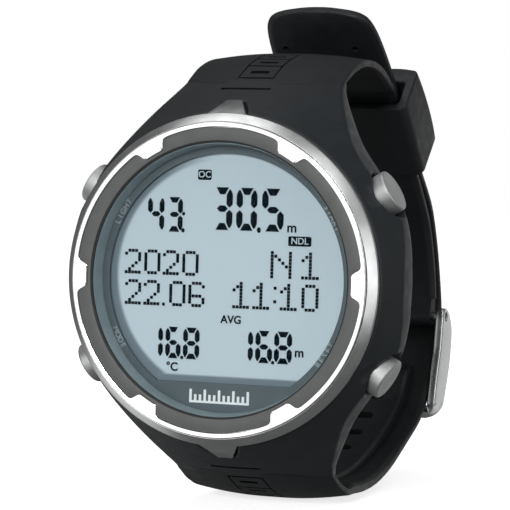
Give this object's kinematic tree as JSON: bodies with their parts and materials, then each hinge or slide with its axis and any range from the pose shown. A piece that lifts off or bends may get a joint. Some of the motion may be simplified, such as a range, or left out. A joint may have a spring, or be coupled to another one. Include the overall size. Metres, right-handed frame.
{
  "type": "dive computer",
  "caption": "Round wrist dive computer with a toothed steel bezel ring, a segment display under glass, side push buttons and a buckled black rubber strap.",
  "frame": {"origin": "centre of the case back's wrist face", "axes": "+Z towards 12 o'clock on the display, +X towards 3 o'clock, +Y out of the case back towards the wrist, so the display faces -Y"},
  "size_m": [0.0564, 0.082, 0.0817],
  "materials": {
    "case_rubber": "dark grey-black moulded elastomer over a stiff core, fine satin grain",
    "strap_rubber": "matt black moulded elastomer",
    "satin_steel": "bead-blasted and finely brushed stainless steel",
    "polished_steel": "mirror-polished stainless steel",
    "insert_grey": "dark grey moulded insert",
    "glass": "clear mineral glass, polished",
    "seal_rubber": "black sealing elastomer",
    "mask_print": "slate blue-grey printed film",
    "lcd_film": "pale blue-grey reflective liquid crystal panel",
    "backlight": "white light guide",
    "module_plastic": "black moulded plastic",
    "board_laminate": "green solder-masked laminate",
    "chip_resin": "black moulding resin",
    "spring_steel": "bright drawn stainless steel",
    "battery_can": null,
    "brass": "machined brass"
  },
  "bodies": {
    "computer": {"back_screw_1": "satin_steel", "back_screw_2": "satin_steel", "back_screw_3": "satin_steel", "back_screw_4": "satin_steel", "backlight_panel": "backlight", "battery": "battery_can", "battery_clip": "brass", "bezel_carrier": "satin_steel", "bezel_insert": "insert_grey", "bezel_ring": "polished_steel", "buckle_pin": "satin_steel", "button_bush_1": "brass", "button_bush_2": "brass", "button_bush_3": "brass", "button_bush_4": "brass", "button_seal_1": "seal_rubber", "button_seal_2": "seal_rubber", "button_seal_3": "seal_rubber", "button_seal_4": "seal_rubber", "button_spring_1": "spring_steel", "button_spring_2": "spring_steel", "button_spring_3": "spring_steel", "button_spring_4": "spring_steel", "buzzer": "brass", "case_back": "satin_steel", "case_back_seal": "seal_rubber", "case_body": "case_rubber", "display_mask": "mask_print", "lcd_panel": "lcd_film", "lens": "glass", "lens_gasket": "seal_rubber", "main_board": "board_laminate", "module_frame": "module_plastic", "pressure_sensor": "spring_steel", "processor": "chip_resin", "sensor_grille": "satin_steel", "sensor_seal": "seal_rubber", "strap_lower": "strap_rubber", "strap_pin_lower": "satin_steel", "strap_pin_upper": "satin_steel", "strap_upper": "strap_rubber", "switch_1": "chip_resin", "switch_2": "chip_resin", "switch_3": "chip_resin", "switch_4": "chip_resin", "zebra_strip_bottom": "seal_rubber", "zebra_strip_top": "seal_rubber"},
    "button_1": {"button_1": "satin_steel", "button_clip_1": "spring_steel"},
    "button_2": {"button_2": "satin_steel", "button_clip_2": "spring_steel"},
    "button_3": {"button_3": "satin_steel", "button_clip_3": "spring_steel"},
    "button_4": {"button_4": "satin_steel", "button_clip_4": "spring_steel"},
    "keeper": {"keeper": "strap_rubber"},
    "buckle_frame": {"buckle_frame": "satin_steel"},
    "buckle_tongue": {"buckle_tongue": "satin_steel"}
  },
  "joints": [
    {"name": "button_1_press", "type": "slide", "parent": "computer", "child": "button_1", "axis": [-0.866, 0, -0.5], "range_m": [0, 0.0009], "stiffness_N_per_m": 800, "springref_m": -0.001, "deforming": ["button_spring_1"]},
    {"name": "button_2_press", "type": "slide", "parent": "computer", "child": "button_2", "axis": [-0.866, 0, 0.5], "range_m": [0, 0.0009], "stiffness_N_per_m": 800, "springref_m": -0.001, "deforming": ["button_spring_2"]},
    {"name": "button_3_press", "type": "slide", "parent": "computer", "child": "button_3", "axis": [0.866, 0, 0.5], "range_m": [0, 0.0009], "stiffness_N_per_m": 800, "springref_m": -0.001, "deforming": ["button_spring_3"]},
    {"name": "button_4_press", "type": "slide", "parent": "computer", "child": "button_4", "axis": [0.866, 0, -0.5], "range_m": [0, 0.0009], "stiffness_N_per_m": 800, "springref_m": -0.001, "deforming": ["button_spring_4"]},
    {"name": "keeper_slide", "type": "slide", "parent": "computer", "child": "keeper", "axis": [0, 0.7071, -0.7071], "range_m": [-0.001, 0.004]},
    {"name": "buckle_hinge", "type": "hinge", "parent": "computer", "child": "buckle_frame", "pos_m": [0, 0.0603, -0.008], "axis": [1, 0, 0], "range_deg": [-2, 4]},
    {"name": "tongue_hinge", "type": "hinge", "parent": "buckle_frame", "child": "buckle_tongue", "pos_m": [0, 0.0603, -0.008], "axis": [1, 0, 0], "range_deg": [0, 8]}
  ]
}
